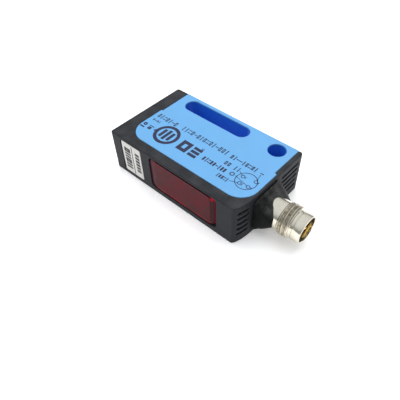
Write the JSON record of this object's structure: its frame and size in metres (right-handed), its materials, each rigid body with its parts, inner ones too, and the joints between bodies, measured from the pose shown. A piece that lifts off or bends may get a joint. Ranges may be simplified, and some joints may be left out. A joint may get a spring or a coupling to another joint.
{
  "type": "photoelectric sensor",
  "caption": "Compact slot-housing photoelectric reflex sensor: blue mounting housing, black frame, red window and an M8 plug connector.",
  "frame": {"origin": "middle of the sensor's footprint, on the lower large face that it lies on", "axes": "+X from the control end to the connector, +Y from the window to the mounting edge, +Z through the thickness"},
  "size_m": [0.0522, 0.0244, 0.012],
  "materials": {
    "front_frame": "black moulded plastic, fine satin texture",
    "mounting_housing": "light blue moulded plastic, satin",
    "front_window": "transparent dark red acrylic, polished",
    "window_gasket": "black foam",
    "front_sticker": "white paper sticker",
    "optics_carrier": "black plastic, matt",
    "emitter_polariser": "grey polarising film",
    "receiver_polariser": "grey polarising film",
    "emitter_lens": "clear moulded lens",
    "receiver_lens": "clear moulded lens",
    "emitter_led": "red tinted resin",
    "receiver_photodiode": "dark filter resin",
    "optics_board": "green board laminate",
    "receiver_shield": "tin-plated sheet",
    "main_circuit_board": "green board laminate",
    "evaluation_chip": "black chip resin",
    "voltage_regulator": "black chip resin",
    "output_driver": "black chip resin",
    "filter_capacitor": "yellow capacitor resin",
    "adjuster_base": "blue moulded plastic",
    "sensitivity_adjuster": "off-white plastic",
    "adjuster_seal": "black rubber",
    "selector_base": "blue moulded plastic",
    "mode_selector": "off-white plastic",
    "selector_seal": "black rubber",
    "power_light_guide": "clear green plastic",
    "output_light_guide": "clear yellow plastic",
    "power_indicator": "green resin",
    "output_indicator": "yellow resin",
    "connector_boot": "black moulded plastic",
    "connector_shell": "bright nickel plate on turned brass",
    "connector_insert": "black insulator",
    "contact_pin_1": "gold plate",
    "contact_pin_2": "gold plate",
    "contact_pin_3": "gold plate",
    "contact_pin_4": "gold plate",
    "lead_wire_1": "brown wire insulation",
    "lead_wire_2": "white wire insulation",
    "lead_wire_3": "blue wire insulation",
    "lead_wire_4": "black wire insulation"
  },
  "bodies": {
    "sensor_body": {"front_frame": "front_frame", "mounting_housing": "mounting_housing", "front_window": "front_window", "window_gasket": "window_gasket", "front_sticker": "front_sticker", "optics_carrier": "optics_carrier", "emitter_polariser": "emitter_polariser", "receiver_polariser": "receiver_polariser", "emitter_lens": "emitter_lens", "receiver_lens": "receiver_lens", "emitter_led": "emitter_led", "receiver_photodiode": "receiver_photodiode", "optics_board": "optics_board", "receiver_shield": "receiver_shield", "main_circuit_board": "main_circuit_board", "evaluation_chip": "evaluation_chip", "voltage_regulator": "voltage_regulator", "output_driver": "output_driver", "filter_capacitor": "filter_capacitor", "adjuster_base": "adjuster_base", "adjuster_seal": "adjuster_seal", "selector_base": "selector_base", "selector_seal": "selector_seal", "power_light_guide": "power_light_guide", "output_light_guide": "output_light_guide", "power_indicator": "power_indicator", "output_indicator": "output_indicator", "connector_boot": "connector_boot", "connector_shell": "connector_shell", "connector_insert": "connector_insert", "contact_pin_1": "contact_pin_1", "contact_pin_2": "contact_pin_2", "contact_pin_3": "contact_pin_3", "contact_pin_4": "contact_pin_4", "lead_wire_1": "lead_wire_1", "lead_wire_2": "lead_wire_2", "lead_wire_3": "lead_wire_3", "lead_wire_4": "lead_wire_4"},
    "adjuster_knob": {"sensitivity_adjuster": "sensitivity_adjuster"},
    "selector_knob": {"mode_selector": "mode_selector"}
  },
  "joints": [
    {"name": "adjuster_turn", "type": "hinge", "parent": "sensor_body", "child": "adjuster_knob", "pos_m": [-0.0257, -0.00835, 0.006], "axis": [-1, 0, 0], "range_deg": [-135, 135]},
    {"name": "selector_turn", "type": "hinge", "parent": "sensor_body", "child": "selector_knob", "pos_m": [-0.0257, -0.00395, 0.006], "axis": [-1, 0, 0], "range_deg": [0, 90]}
  ]
}
